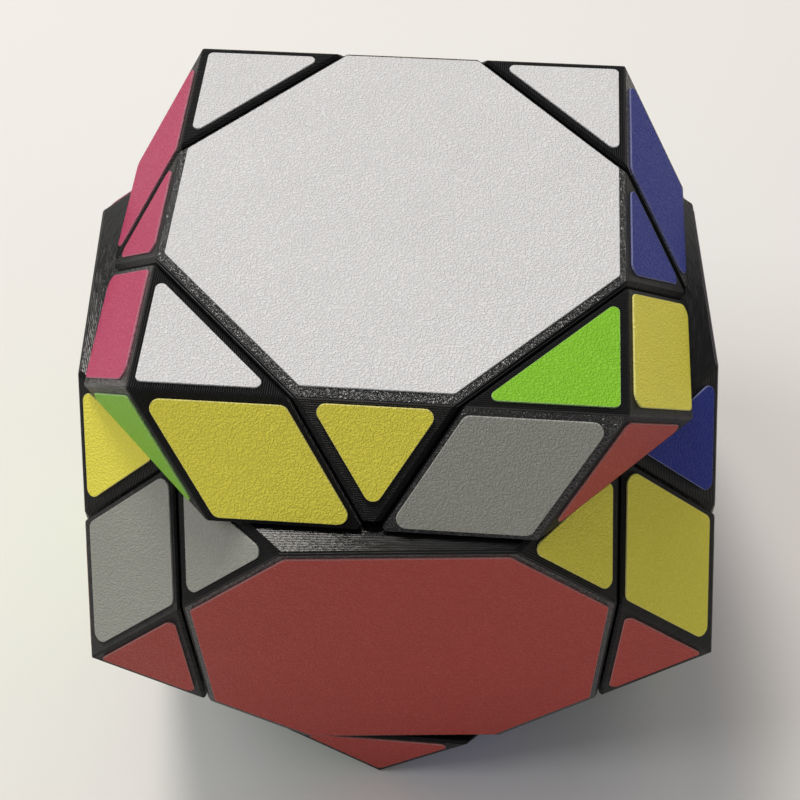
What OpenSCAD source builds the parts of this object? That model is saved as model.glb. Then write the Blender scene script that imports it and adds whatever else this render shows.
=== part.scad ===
// Cuboctahedron twisty puzzle with six turning square faces.
// Six centres sit on a ball core, and twelve four-sided corners hook under them.
// The top layer is part turned and the bottom layer is a few degrees off true.

/* [Body] */
// Distance from the centre to each square face of the plastic
half_height = 36; // [30:0.5:44]
// Clearance between two neighbouring pieces, across their cut faces
cut_gap = 0.3; // [0.2:0.05:0.6]
// Chamfer along the edges of each cut face
cut_chamfer = 0.35; // [0.1:0.05:0.6]
// Chamfer along the edges between two outer faces
rim_chamfer = 0.15; // [0.1:0.05:0.4]
// Length cut off each piece's tip at the middle of a triangular face
tip_cut = 1.5; // [0.5:0.1:2.5]
// Turn of the top layer from its aligned place, in degrees
top_turn = 40.4; // [-45:0.1:45]
// Turn of the bottom layer from its aligned place, in degrees
bottom_turn = -5.5; // [-45:0.1:45]

/* [Stickers] */
// Thickness of the textured film
film_t = 0.2; // [0.1:0.05:0.5]
// Margin of black plastic around each rhombus
rhombus_margin = 0.85; // [0.5:0.05:2]
// Corner radius of each rhombus
rhombus_corner_r = 1.1; // [0.5:0.05:2]
// Margin of black plastic around the right-angled triangles of the corners
wing_margin = 0.85; // [0.5:0.05:2]
// Corner radius of the right-angled triangles
wing_corner_r = 0.65; // [0.3:0.05:1.5]
// Margin of black plastic around the small triangles of the centres
triangle_margin = 1.05; // [0.7:0.05:2]
// Corner radius of the small triangles
triangle_corner_r = 0.95; // [0.5:0.05:1.5]
// Distance that each small triangle lies towards its octagon
triangle_lift = 0.3; // [0:0.05:0.5]
// Margin of black plastic around each octagonal sticker
octagon_margin = 0.9; // [0.5:0.05:2]
// Corner radius of each octagonal sticker
octagon_corner_r = 0.6; // [0.2:0.1:2]

/* [Core and feet] */
// Radius of the ball core
core_r = 13; // [10:0.5:13.5]
// Radius of the arms on the core
arm_r = 4.2; // [3.4:0.1:5]
// Distance from the centre to the end of each arm
arm_end = 15; // [14:0.25:18]
// Radius of the stem under each centre
stem_r = 6.8; // [5.6:0.1:7.4]
// Radial clearance of a stem on its arm
journal_gap = 0.1; // [0.05:0.01:0.1]
// Depth of the ball that the corners' feet fill, inside the cut planes
foot_inset = 2; // [0.5:0.25:4]
// Clearance of the feet from the core, the stems and the undersides of the centres
foot_gap = 0.4; // [0.2:0.05:0.6]
// Half the thickness of a corner's neck, measured along an axis
neck_half = 3; // [2.5:0.25:4]

/* [Fasteners] */
// Radius of the screw's shank
screw_r = 1.5; // [1.25:0.05:1.8]
// Length of the screw under its head
screw_length = 18; // [15:0.5:20]
// Radius of the screw's head
head_r = 2.9; // [2.4:0.1:3.4]
// Height of the screw's head
head_h = 2.2; // [1.8:0.1:2.8]
// Radius that the screw's thread bites into the core
thread_bite = 0.1; // [0.05:0.05:0.2]
// Length of the spring as assembled
spring_length = 6; // [5:0.25:7]
// Diameter of the spring's wire
wire_d = 0.8; // [0.6:0.1:1]
// Outer radius of the spring
spring_r = 3.9; // [3.3:0.1:4.2]
// Turns of the spring
spring_turns = 4; // [3:1:6]
// Thickness of the washer
washer_t = 0.5; // [0.3:0.1:0.8]
// Floor of the well that the spring presses on
ledge_t = 2; // [1.5:0.25:3]
// Clearance of screw, washer and spring in their holes
fastener_gap = 0.2; // [0.1:0.05:0.4]

/* [Centre caps] */
// Radius of the plug that closes the screw's well
cap_r = 9; // [6:0.5:11]
// Thickness of the plug
cap_t = 2.5; // [1.5:0.25:4]
// Clearance around and under the plug
cap_gap = 0.1; // [0.05:0.05:0.3]

/* [Hidden] */
$fn = 72;

// The three cuts of each triangular face meet at its middle, which sets their depth.
cut_depth = half_height * 2 / 3;
edge_third = half_height / 3;
triangle_distance = 2 * half_height / sqrt(3);
centre_z = half_height + film_t;
far = 3 * half_height;
half_gap = cut_gap / 2;
short_side = edge_third * sqrt(2);

// The feet start just outside the stems, and end against the undersides of the centres.
foot_r = cut_depth - foot_inset;
foot_flat = stem_r + foot_gap;
under_r = foot_r + foot_gap;
// How far a stem runs up into its block.
stem_root = 1;

// Heights along one arm, measured from the centre of the puzzle.
ledge_bottom = arm_end + fastener_gap;
ledge_top = ledge_bottom + ledge_t;
washer_bottom = ledge_top + spring_length;
head_bottom = washer_bottom + washer_t;
screw_tip = head_bottom - screw_length;
well_r = max(spring_r, head_r) + fastener_gap * 2;
shank_bore_r = screw_r + fastener_gap;

// Outward faces, as [azimuth, angle from the axis, distance].
tilt = acos(1 / sqrt(3));
function square_at(azimuth, angle) = [azimuth, angle, half_height];
function triangle_at(azimuth) = [azimuth, tilt, triangle_distance];

// Where the tips are cut, square to each face: down the face on a centre, across it on a corner.
function centre_tip(azimuth) = [azimuth, tilt + 90, -tip_cut];
function corner_tip(side) = [side * atan2(2, -1), acos(-1 / sqrt(6)), -tip_cut];

// Colours of the film.
FILM = [
    ["white", [0.86, 0.86, 0.86]], ["green", [0.45, 0.80, 0.17]], ["red", [0.55, 0.20, 0.20]],
    ["yellow", [0.80, 0.74, 0.23]], ["grey", [0.50, 0.50, 0.48]], ["pink", [0.76, 0.30, 0.44]],
    ["blue", [0.20, 0.21, 0.45]], ["cream", [0.85, 0.78, 0.60]], ["sky", [0.35, 0.65, 0.85]],
    ["purple", [0.42, 0.22, 0.55]], ["orange", [0.90, 0.47, 0.13]], ["teal", [0.10, 0.55, 0.55]],
    ["brown", [0.40, 0.26, 0.17]], ["forest", [0.10, 0.36, 0.18]]
];

// Where each centre sits: its turn about X, then about Z, and its five colours.
// The colours are the octagon's, then the triangles' at 45, 135, 225 and 315 degrees.
TOP_CENTRE = [[0, 0, 0], ["white", "cream", "pink", "yellow", "blue"]];
BOTTOM_CENTRE = [[180, 0, 0], ["orange", "forest", "grey", "brown", "teal"]];
FRONT_CENTRE = [[90, 0, 0], ["red", "yellow", "grey", "forest", "blue"]];
RIGHT_CENTRE = [[90, 0, 90], ["purple", "cream", "blue", "forest", "teal"]];
BACK_CENTRE = [[90, 0, 180], ["sky", "pink", "cream", "teal", "brown"]];
LEFT_CENTRE = [[90, 0, 270], ["green", "yellow", "pink", "brown", "grey"]];

// Where each corner sits, and its colours on its two square faces and its two triangular ones.
TOP_BACK_RIGHT = [[0, 0, 0], ["white", "purple", "cream", "blue"]];
TOP_BACK_LEFT = [[0, 0, 90], ["white", "sky", "pink", "cream"]];
TOP_FRONT_LEFT = [[0, 0, 180], ["white", "green", "yellow", "pink"]];
TOP_FRONT_RIGHT = [[0, 0, 270], ["green", "red", "yellow", "grey"]];
MIDDLE_FRONT_RIGHT = [[90, 0, 0], ["red", "white", "yellow", "blue"]];
MIDDLE_BACK_RIGHT = [[90, 0, 90], ["purple", "sky", "cream", "teal"]];
MIDDLE_BACK_LEFT = [[90, 0, 180], ["sky", "green", "pink", "brown"]];
MIDDLE_FRONT_LEFT = [[90, 0, 270], ["orange", "red", "grey", "forest"]];
BOTTOM_RIGHT = [[180, 0, 0], ["orange", "purple", "forest", "teal"]];
BOTTOM_BACK = [[180, 0, 90], ["orange", "sky", "teal", "brown"]];
BOTTOM_LEFT = [[180, 0, 180], ["orange", "green", "brown", "grey"]];
BOTTOM_FRONT = [[180, 0, 270], ["purple", "red", "forest", "blue"]];

SIDE_CENTRES = [FRONT_CENTRE, RIGHT_CENTRE, BACK_CENTRE, LEFT_CENTRE];
TOP_CORNERS = [TOP_BACK_RIGHT, TOP_BACK_LEFT, TOP_FRONT_LEFT, TOP_FRONT_RIGHT];
MIDDLE_CORNERS = [MIDDLE_FRONT_RIGHT, MIDDLE_BACK_RIGHT, MIDDLE_BACK_LEFT, MIDDLE_FRONT_LEFT];
BOTTOM_CORNERS = [BOTTOM_RIGHT, BOTTOM_BACK, BOTTOM_LEFT, BOTTOM_FRONT];

// ---- Placing ----

// Lifts a layer to its height on the table and turns it by its own angle.
module layer(turn) {
    translate([0, 0, centre_z]) rotate([0, 0, turn]) children();
}

// Turns a piece from its own frame to its place in a layer.
module placed(piece) {
    rotate(piece[0]) children();
}

// ---- Shared shapes ----

// Everything behind a plane, given as [azimuth, angle from the axis, distance].
module behind(face) {
    rotate([0, face[1], face[0]]) translate([-far, -far, face[2] - 2 * far]) cube(2 * far);
}

// Unit vector of a face's direction.
function normal(face) = [
    sin(face[1]) * cos(face[0]), sin(face[1]) * sin(face[0]), cos(face[1])
];

// Everything behind the chamfer between two faces.
module behind_chamfer(face_a, face_b, width) {
    sum = normal(face_a) + normal(face_b);
    // On the shared edge the sum of the two distances gives the edge's own distance.
    edge = (face_a[2] + face_b[2]) / norm(sum);
    // A chamfer of this width cuts the same length from each face.
    half_angle = acos(norm(sum) / 2);
    direction = sum / norm(sum);
    azimuth = atan2(direction[1], direction[0]);
    behind([azimuth, acos(direction[2]), edge - width * sin(half_angle)]);
}

// The turning zone of the +Z layer: flat outside, a 45 degree cone further in.
module layer_zone(inset) {
    slant = inset * sqrt(2);
    rim = cut_depth + neck_half + inset - slant;
    rotate_extrude() polygon([
        [0, slant - neck_half], [rim, cut_depth + inset],
        [far, cut_depth + inset], [far, far], [0, far]
    ]);
}

// A hollow ball between two radii.
module shell(outer_r, inner_r) {
    difference() {
        sphere(outer_r);
        sphere(inner_r);
    }
}

// The space behind every face of a list.
module behind_all(faces) {
    intersection_for(face = faces) behind(face);
}

// The space behind the chamfers between one face and each face of a list.
module chamfered(face, neighbours, width) {
    intersection_for(neighbour = neighbours) behind_chamfer(face, neighbour, width);
}

// ---- Corners: four-coloured pieces, drawn between the +X and +Z faces ----

// The foot that hooks under the centres, clear of their stems.
module corner_foot() {
    intersection() {
        shell(foot_r, core_r + foot_gap);
        translate([foot_flat, -stem_r, foot_flat]) cube([far, 2 * stem_r, far]);
    }
}

// The outer wedge and its neck, which runs in along the two turning cones.
module corner_wedge() {
    squares = [square_at(0, 0), square_at(0, 90)];
    triangles = [triangle_at(45), triangle_at(-45)];
    cuts = [[180, 90, -cut_depth - half_gap], [0, 180, -cut_depth - half_gap]];
    intersection() {
        translate([0, -far, 0]) cube([half_height, 2 * far, half_height]);
        behind_all(triangles);
        behind_all([corner_tip(1), corner_tip(-1)]);
        layer_zone(half_gap);
        rotate([0, 90, 0]) layer_zone(half_gap);
        chamfered(squares[0], [cuts[0]], cut_chamfer);
        chamfered(squares[1], [cuts[1]], cut_chamfer);
        chamfered(triangles[0], cuts, cut_chamfer);
        chamfered(triangles[1], cuts, cut_chamfer);
        chamfered(triangles[0], squares, rim_chamfer);
        chamfered(triangles[1], squares, rim_chamfer);
    }
}

// The neck stops outside the ball of the feet, except right above its own foot.
module corner_body() {
    difference() {
        corner_wedge();
        difference() {
            sphere(under_r);
            translate([0, -stem_r, 0]) cube([far, 2 * stem_r, far]);
        }
        sphere(foot_r - 2 * foot_gap);
    }
    corner_foot();
}

// ---- Centres: an octagon and four triangles, drawn at the +Z face ----

// The outer block, cut by the four neighbouring layers and hollowed to a ball beneath.
module centre_block() {
    top = square_at(0, 0);
    clear_of(0) clear_of(90) clear_of(180) clear_of(270) difference() {
        intersection() {
            translate([-far, -far, 0]) cube([2 * far, 2 * far, half_height]);
            layer_zone(half_gap);
            on_four_sides() centre_side(top);
        }
        sphere(under_r);
    }
}

// A shape cut clear of the layer on one side of it.
module clear_of(side) {
    difference() {
        children();
        rotate([0, 0, side]) rotate([0, 90, 0]) layer_zone(-half_gap);
    }
}

// One triangular face, one cut face, and the chamfers around them.
module centre_side(top) {
    triangle = triangle_at(45);
    cuts = [[0, 90, cut_depth - half_gap], [90, 90, cut_depth - half_gap]];
    intersection() {
        behind(triangle);
        behind(centre_tip(45));
        chamfered(top, [cuts[0]], cut_chamfer);
        chamfered(top, [triangle], rim_chamfer);
        chamfered(triangle, cuts, cut_chamfer);
    }
}

// The same shape turned to all four sides, and the space that all four share.
module on_four_sides() {
    intersection_for(side = [0:90:270]) rotate([0, 0, side]) children();
}

// The stem that turns on one arm of the core, with the well for screw and spring.
module centre_body() {
    difference() {
        union() {
            centre_block();
            cylinder(r = stem_r, h = under_r + stem_root);
        }
        sphere(core_r + journal_gap);
        cylinder(r = arm_r + journal_gap, h = ledge_bottom);
        cylinder(r = shank_bore_r, h = far);
        translate([0, 0, ledge_top]) cylinder(r = well_r, h = far);
        translate([0, 0, half_height - cap_t]) cylinder(r = cap_r + cap_gap, h = far);
    }
}

module centre_cap() {
    translate([0, 0, half_height - cap_t]) cylinder(r = cap_r, h = cap_t);
}

// ---- Core and fasteners ----

// Places a shape on each of the six axes.
module on_six_axes() {
    children();
    rotate([180, 0, 0]) children();
    for (side = [0:90:270]) rotate([90, 0, side]) children();
}

module core_body() {
    difference() {
        union() {
            sphere(core_r);
            on_six_axes() cylinder(r = arm_r, h = arm_end);
        }
        on_six_axes() translate([0, 0, screw_tip]) cylinder(r = screw_r - thread_bite, h = far);
    }
}

// A pan-headed screw with a cross recess, pointing at the core.
module screw() {
    recess_w = head_r / 3;
    recess_l = head_r * 1.1;
    recess_depth = head_h / 2;
    dome_r = head_r * 1.4;
    translate([0, 0, screw_tip]) cylinder(r = screw_r, h = screw_length + head_h / 4);
    difference() {
        intersection() {
            translate([0, 0, head_bottom]) cylinder(r = head_r, h = head_h);
            translate([0, 0, head_bottom + head_h - dome_r]) sphere(dome_r);
        }
        for (turn = [0, 90]) rotate([0, 0, turn])
            translate([-recess_l / 2, -recess_w / 2, head_bottom + head_h - recess_depth])
                cube([recess_l, recess_w, head_h]);
    }
}

module washer() {
    translate([0, 0, washer_bottom]) difference() {
        cylinder(r = spring_r, h = washer_t);
        translate([0, 0, -1]) cylinder(r = shank_bore_r, h = washer_t + 2);
    }
}

// Height of the spring's wire after a number of turns: half a turn lies flat at each end.
function coil_height(turns) = let (active = min(max(turns - 0.5, 0), spring_turns - 1))
    active / (spring_turns - 1) * (spring_length - wire_d);

// A round-wire compression spring, resting on the ledge of the well.
module spring() {
    per_turn = 24;
    sides = 6;
    steps = per_turn * spring_turns;
    coil_r = spring_r - wire_d / 2;
    start_z = ledge_top + wire_d / 2;
    points = [for (i = [0:steps], j = [0:sides - 1]) let (
        turn = i * 360 / per_turn,
        r = coil_r + wire_d / 2 * cos(j * 360 / sides),
        z = start_z + coil_height(i / per_turn) + wire_d / 2 * sin(j * 360 / sides)
    ) [r * cos(turn), r * sin(turn), z]];
    walls = [for (i = [0:steps - 1], j = [0:sides - 1]) let (
        a = i * sides + j,
        b = i * sides + (j + 1) % sides
    ) [a, b, b + sides, a + sides]];
    start = [for (j = [sides - 1:-1:0]) j];
    end = [for (j = [0:sides - 1]) steps * sides + j];
    polyhedron(points, concat(walls, [start, end]), convexity = 8);
}

// ---- Film: thin plates on the outer faces ----

// Insets a convex outline and rounds its corners, as a list of points.
function rounded(points, margin, r) = [
    for (i = [0:len(points) - 1]) let (
        before = points[(i + len(points) - 1) % len(points)],
        here = points[i],
        after = points[(i + 1) % len(points)],
        angle_in = atan2(here[1] - before[1], here[0] - before[0]) - 90,
        angle_out = atan2(after[1] - here[1], after[0] - here[0]) - 90,
        swing = (angle_out - angle_in + 720) % 360,
        reach = (margin + r) / cos(swing / 2),
        middle = angle_in + swing / 2,
        steps = 6
    ) for (j = [0:steps]) let (turn = angle_in + swing * j / steps) [
        here[0] - reach * cos(middle) + r * cos(turn),
        here[1] - reach * sin(middle) + r * sin(turn)
    ]
];

// A plate of film on a face, from its outline.
module film(face, outline) {
    rotate([0, face[1], face[0]]) translate([0, 0, face[2]]) linear_extrude(film_t) polygon(outline);
}

module film_octagon() {
    long = cut_depth - half_gap;
    short = edge_third + half_gap;
    outline = [
        [long, -short], [long, short], [short, long], [-short, long],
        [-long, short], [-long, -short], [-short, -long], [short, -long]
    ];
    film(square_at(0, 0), rounded(outline, octagon_margin, octagon_corner_r));
}

// The small triangle of a centre, on the triangular face at an azimuth.
module film_centre_triangle(azimuth) {
    trim = cut_gap / sqrt(3) * sqrt(2);
    far_ends = [for (angle = [150, 210]) short_side * [cos(angle), sin(angle)]];
    outline = rounded(concat([[-trim, 0]], far_ends), triangle_margin, triangle_corner_r);
    film(triangle_at(azimuth), [for (point = outline) point - [triangle_lift, 0]]);
}

// The right-angled triangle on a square face of a corner.
module film_corner_triangle(mirrored) {
    reach = half_height - cut_depth - half_gap;
    outline = [[half_height, 0], [half_height - reach, reach], [half_height - reach, -reach]];
    points = rounded(outline, wing_margin, wing_corner_r);
    if (mirrored)
        mirror([1, 0, -1]) film(square_at(0, 0), points);
    else
        film(square_at(0, 0), points);
}

// The rhombus on a triangular face of a corner; side is 1 for +Y and -1 for -Y.
module film_rhombus(side) {
    trim = cut_gap / sqrt(3) * sqrt(2);
    near = trim * [cos(240), sin(240)];
    outline = [
        near,
        near + (short_side - trim) * [cos(210), sin(210)],
        near + (short_side - trim) * sqrt(3) * [cos(240), sin(240)],
        near + (short_side - trim) * [cos(270), sin(270)]
    ];
    points = rounded(outline, rhombus_margin, rhombus_corner_r);
    mirror([0, side < 0 ? 1 : 0, 0]) film(triangle_at(45), points);
}

// The films of one colour on one centre.
module centre_films(piece, name) {
    colours = piece[1];
    placed(piece) {
        if (colours[0] == name) film_octagon();
        for (i = [1:4]) if (colours[i] == name) film_centre_triangle(45 + 90 * (i - 1));
    }
}

// The films of one colour on one corner.
module corner_films(piece, name) {
    colours = piece[1];
    placed(piece) {
        if (colours[0] == name) film_corner_triangle(false);
        if (colours[1] == name) film_corner_triangle(true);
        if (colours[2] == name) film_rhombus(1);
        if (colours[3] == name) film_rhombus(-1);
    }
}

// All the films of one colour on the pieces of one layer.
module films(centres, corners, name) {
    paint = FILM[search([name], FILM)[0]][1];
    color(paint) {
        for (piece = centres) centre_films(piece, name);
        for (piece = corners) corner_films(piece, name);
    }
}

// ---- Sub-parts in place ----

module plastic() {
    color([0.06, 0.06, 0.065]) children();
}

module steel() {
    color([0.62, 0.63, 0.65]) children();
}

module top_films(name) {
    layer(top_turn) films([TOP_CENTRE], TOP_CORNERS, name);
}

module middle_films(name) {
    layer(0) films(SIDE_CENTRES, MIDDLE_CORNERS, name);
}

module bottom_films(name) {
    layer(bottom_turn) films([BOTTOM_CENTRE], BOTTOM_CORNERS, name);
}

module piece_body(turn, piece) {
    plastic() layer(turn) placed(piece) children();
}

module core() {
    plastic() layer(0) core_body();
}

module centre_screws() {
    steel() layer(0) on_six_axes() screw();
}

module tension_springs() {
    steel() layer(0) on_six_axes() spring();
}

module spring_washers() {
    steel() layer(0) on_six_axes() washer();
}

module top_centre_body() {
    piece_body(top_turn, TOP_CENTRE) centre_body();
}

module bottom_centre_body() {
    piece_body(bottom_turn, BOTTOM_CENTRE) centre_body();
}

module front_centre_body() {
    piece_body(0, FRONT_CENTRE) centre_body();
}

module back_centre_body() {
    piece_body(0, BACK_CENTRE) centre_body();
}

module left_centre_body() {
    piece_body(0, LEFT_CENTRE) centre_body();
}

module right_centre_body() {
    piece_body(0, RIGHT_CENTRE) centre_body();
}

module top_centre_cap() {
    piece_body(top_turn, TOP_CENTRE) centre_cap();
}

module bottom_centre_cap() {
    piece_body(bottom_turn, BOTTOM_CENTRE) centre_cap();
}

module side_centre_caps() {
    for (piece = SIDE_CENTRES) piece_body(0, piece) centre_cap();
}

module top_corner_front_right() {
    piece_body(top_turn, TOP_FRONT_RIGHT) corner_body();
}

module top_corner_front_left() {
    piece_body(top_turn, TOP_FRONT_LEFT) corner_body();
}

module top_corner_back_left() {
    piece_body(top_turn, TOP_BACK_LEFT) corner_body();
}

module top_corner_back_right() {
    piece_body(top_turn, TOP_BACK_RIGHT) corner_body();
}

module middle_corner_front_right() {
    piece_body(0, MIDDLE_FRONT_RIGHT) corner_body();
}

module middle_corner_front_left() {
    piece_body(0, MIDDLE_FRONT_LEFT) corner_body();
}

module middle_corner_back_left() {
    piece_body(0, MIDDLE_BACK_LEFT) corner_body();
}

module middle_corner_back_right() {
    piece_body(0, MIDDLE_BACK_RIGHT) corner_body();
}

module bottom_corner_front() {
    piece_body(bottom_turn, BOTTOM_FRONT) corner_body();
}

module bottom_corner_left() {
    piece_body(bottom_turn, BOTTOM_LEFT) corner_body();
}

module bottom_corner_back() {
    piece_body(bottom_turn, BOTTOM_BACK) corner_body();
}

module bottom_corner_right() {
    piece_body(bottom_turn, BOTTOM_RIGHT) corner_body();
}

module top_white_stickers() {
    top_films("white");
}

module top_green_stickers() {
    top_films("green");
}

module top_red_stickers() {
    top_films("red");
}

module top_yellow_stickers() {
    top_films("yellow");
}

module top_grey_stickers() {
    top_films("grey");
}

module top_pink_stickers() {
    top_films("pink");
}

module top_blue_stickers() {
    top_films("blue");
}

module top_cream_stickers() {
    top_films("cream");
}

module top_sky_stickers() {
    top_films("sky");
}

module top_purple_stickers() {
    top_films("purple");
}

module middle_white_stickers() {
    middle_films("white");
}

module middle_green_stickers() {
    middle_films("green");
}

module middle_red_stickers() {
    middle_films("red");
}

module middle_yellow_stickers() {
    middle_films("yellow");
}

module middle_grey_stickers() {
    middle_films("grey");
}

module middle_pink_stickers() {
    middle_films("pink");
}

module middle_blue_stickers() {
    middle_films("blue");
}

module middle_cream_stickers() {
    middle_films("cream");
}

module middle_sky_stickers() {
    middle_films("sky");
}

module middle_purple_stickers() {
    middle_films("purple");
}

module middle_orange_stickers() {
    middle_films("orange");
}

module middle_teal_stickers() {
    middle_films("teal");
}

module middle_brown_stickers() {
    middle_films("brown");
}

module middle_forest_stickers() {
    middle_films("forest");
}

module bottom_green_stickers() {
    bottom_films("green");
}

module bottom_red_stickers() {
    bottom_films("red");
}

module bottom_grey_stickers() {
    bottom_films("grey");
}

module bottom_blue_stickers() {
    bottom_films("blue");
}

module bottom_sky_stickers() {
    bottom_films("sky");
}

module bottom_purple_stickers() {
    bottom_films("purple");
}

module bottom_orange_stickers() {
    bottom_films("orange");
}

module bottom_teal_stickers() {
    bottom_films("teal");
}

module bottom_brown_stickers() {
    bottom_films("brown");
}

module bottom_forest_stickers() {
    bottom_films("forest");
}

core();
centre_screws();
tension_springs();
spring_washers();
top_centre_body();
bottom_centre_body();
front_centre_body();
back_centre_body();
left_centre_body();
right_centre_body();
top_centre_cap();
bottom_centre_cap();
side_centre_caps();
top_corner_front_right();
top_corner_front_left();
top_corner_back_left();
top_corner_back_right();
middle_corner_front_right();
middle_corner_front_left();
middle_corner_back_left();
middle_corner_back_right();
bottom_corner_front();
bottom_corner_left();
bottom_corner_back();
bottom_corner_right();
top_white_stickers();
top_green_stickers();
top_red_stickers();
top_yellow_stickers();
top_grey_stickers();
top_pink_stickers();
top_blue_stickers();
top_cream_stickers();
top_sky_stickers();
top_purple_stickers();
middle_white_stickers();
middle_green_stickers();
middle_red_stickers();
middle_yellow_stickers();
middle_grey_stickers();
middle_pink_stickers();
middle_blue_stickers();
middle_cream_stickers();
middle_sky_stickers();
middle_purple_stickers();
middle_orange_stickers();
middle_teal_stickers();
middle_brown_stickers();
middle_forest_stickers();
bottom_green_stickers();
bottom_red_stickers();
bottom_grey_stickers();
bottom_blue_stickers();
bottom_sky_stickers();
bottom_purple_stickers();
bottom_orange_stickers();
bottom_teal_stickers();
bottom_brown_stickers();
bottom_forest_stickers();
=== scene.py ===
"""A cuboctahedron twisty puzzle: black printed pieces, textured film on every outer face."""

import logging
import math
from dataclasses import dataclass, field
from enum import Enum

import bpy
from mathutils import Matrix, Vector


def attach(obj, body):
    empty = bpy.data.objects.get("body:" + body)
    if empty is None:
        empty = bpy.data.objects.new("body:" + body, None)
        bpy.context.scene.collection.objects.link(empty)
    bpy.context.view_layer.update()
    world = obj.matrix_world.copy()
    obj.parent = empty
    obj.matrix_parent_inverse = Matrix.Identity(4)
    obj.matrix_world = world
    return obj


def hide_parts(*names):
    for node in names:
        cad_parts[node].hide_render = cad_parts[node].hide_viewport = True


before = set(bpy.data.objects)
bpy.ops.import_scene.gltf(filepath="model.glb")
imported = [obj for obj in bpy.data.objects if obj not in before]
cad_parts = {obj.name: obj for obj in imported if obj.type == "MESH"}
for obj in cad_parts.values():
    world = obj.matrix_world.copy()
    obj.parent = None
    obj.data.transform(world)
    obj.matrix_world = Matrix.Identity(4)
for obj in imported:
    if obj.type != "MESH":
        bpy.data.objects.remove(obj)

LOG = logging.getLogger("puzzle")
MM = 0.001


# ---- Names and colours ----


class Layer(Enum):
    """The three layers, named as their bodies in the frame."""

    TOP = "top_layer"
    MIDDLE = "middle_layer"
    BOTTOM = "bottom_layer"

    @property
    def short(self) -> str:
        """The layer's word in the names of its nodes."""
        return self.value.split("_")[0]


class Outline(Enum):
    """The four outlines that the film is cut to, numbered as the layout tree selects them."""

    OCTAGON = 0
    CENTRE_TRIANGLE = 1
    CORNER_TRIANGLE = 2
    RHOMBUS = 3


class Shade(Enum):
    """The film's colours in sRGB."""

    WHITE = "#E2E1E1"
    GREEN = "#85C621"
    RED = "#B9433A"
    YELLOW = "#FEF255"
    GREY = "#A4A49A"
    PINK = "#BF3A63"
    BLUE = "#223298"
    CREAM = "#D9C79A"
    SKY = "#5BA7D6"
    PURPLE = "#6B388C"
    ORANGE = "#DF7A22"
    TEAL = "#1B8A8C"
    BROWN = "#66422B"
    FOREST = "#1C5B30"

    @property
    def word(self) -> str:
        """The colour's word in the names of nodes and slots."""
        return self.name.lower()


def linear(hex_colour: str) -> tuple[float, float, float, float]:
    """Turns an sRGB hex colour to linear light.

    Args:
        hex_colour: The colour as #RRGGBB.

    Returns:
        Linear red, green, blue and full alpha.
    """
    values = [int(hex_colour[i : i + 2], 16) / 255 for i in (1, 3, 5)]
    red, green, blue = (v / 12.92 if v <= 0.04045 else ((v + 0.055) / 1.055) ** 2.4 for v in values)
    return red, green, blue, 1.0


def wire(tree: bpy.types.NodeTree, node: bpy.types.Node, inputs: dict[str | int, object]) -> None:
    """Sets a node's inputs to values, or links them to sockets.

    Args:
        tree: The tree that holds the node.
        node: The node that gets the inputs.
        inputs: Values or output sockets, by input name or number.
    """
    for key, value in inputs.items():
        if isinstance(value, bpy.types.NodeSocket):
            tree.links.new(value, node.inputs[key])
        else:
            node.inputs[key].default_value = value


def add(
    tree: bpy.types.NodeTree,
    kind: str,
    inputs: dict[str | int, object] | None = None,
    **settings: object,
) -> bpy.types.Node:
    """Adds one node with its settings, values and links.

    Args:
        tree: The tree that gets the node.
        kind: The node's type name.
        inputs: Values or output sockets, by input name or number.
        settings: Attributes set on the node itself.

    Returns:
        The new node.
    """
    node = tree.nodes.new(kind)
    for name, value in settings.items():
        setattr(node, name, value)
    wire(tree, node, inputs or {})
    return node


def new_finish(
    name: str,
) -> tuple[bpy.types.Material, bpy.types.NodeTree, bpy.types.Node, bpy.types.Node]:
    """Starts a material.

    Args:
        name: The material's name.

    Returns:
        The material, its tree, its shader and its texture coordinates.
    """
    material = bpy.data.materials.new(name)
    material.use_nodes = True
    tree = material.node_tree
    return material, tree, tree.nodes["Principled BSDF"], add(tree, "ShaderNodeTexCoord")


# ---- Sizes, as the frame's parts have them ----


@dataclass(frozen=True)
class Sizes:
    """The puzzle's driving sizes, in metres and degrees."""

    half_height: float = 36 * MM
    cut_gap: float = 0.3 * MM
    film: float = 0.2 * MM
    film_round: float = 0.06 * MM
    rhombus_margin: float = 0.85 * MM
    rhombus_corner: float = 1.1 * MM
    wing_margin: float = 0.85 * MM
    wing_corner: float = 0.65 * MM
    triangle_margin: float = 1.05 * MM
    triangle_corner: float = 0.95 * MM
    triangle_lift: float = 0.3 * MM
    octagon_margin: float = 0.9 * MM
    octagon_corner: float = 0.6 * MM
    top_turn: float = 40.4
    bottom_turn: float = -5.5

    @property
    def cut(self) -> float:
        """Distance from the centre to each cut plane."""
        return self.half_height * 2 / 3

    @property
    def third(self) -> float:
        """A third of the half height."""
        return self.half_height / 3

    @property
    def side(self) -> float:
        """The short side of every small outline."""
        return self.third * math.sqrt(2)

    @property
    def triangle_distance(self) -> float:
        """Distance from the centre to each triangular face."""
        return 2 * self.half_height / math.sqrt(3)

    @property
    def centre(self) -> Vector:
        """The puzzle's centre over the table."""
        return Vector((0, 0, self.half_height + self.film))


SIZES = Sizes()
TILT = math.acos(1 / math.sqrt(3))
TURNS = {Layer.TOP: SIZES.top_turn, Layer.MIDDLE: 0.0, Layer.BOTTOM: SIZES.bottom_turn}


@dataclass(frozen=True)
class FilmPlace:
    """Where one film lies: its outline, its turn, its shade and how far it was laid off true."""

    outline: Outline
    turn: Matrix
    shade: Shade
    slip: tuple[float, float]


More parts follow.
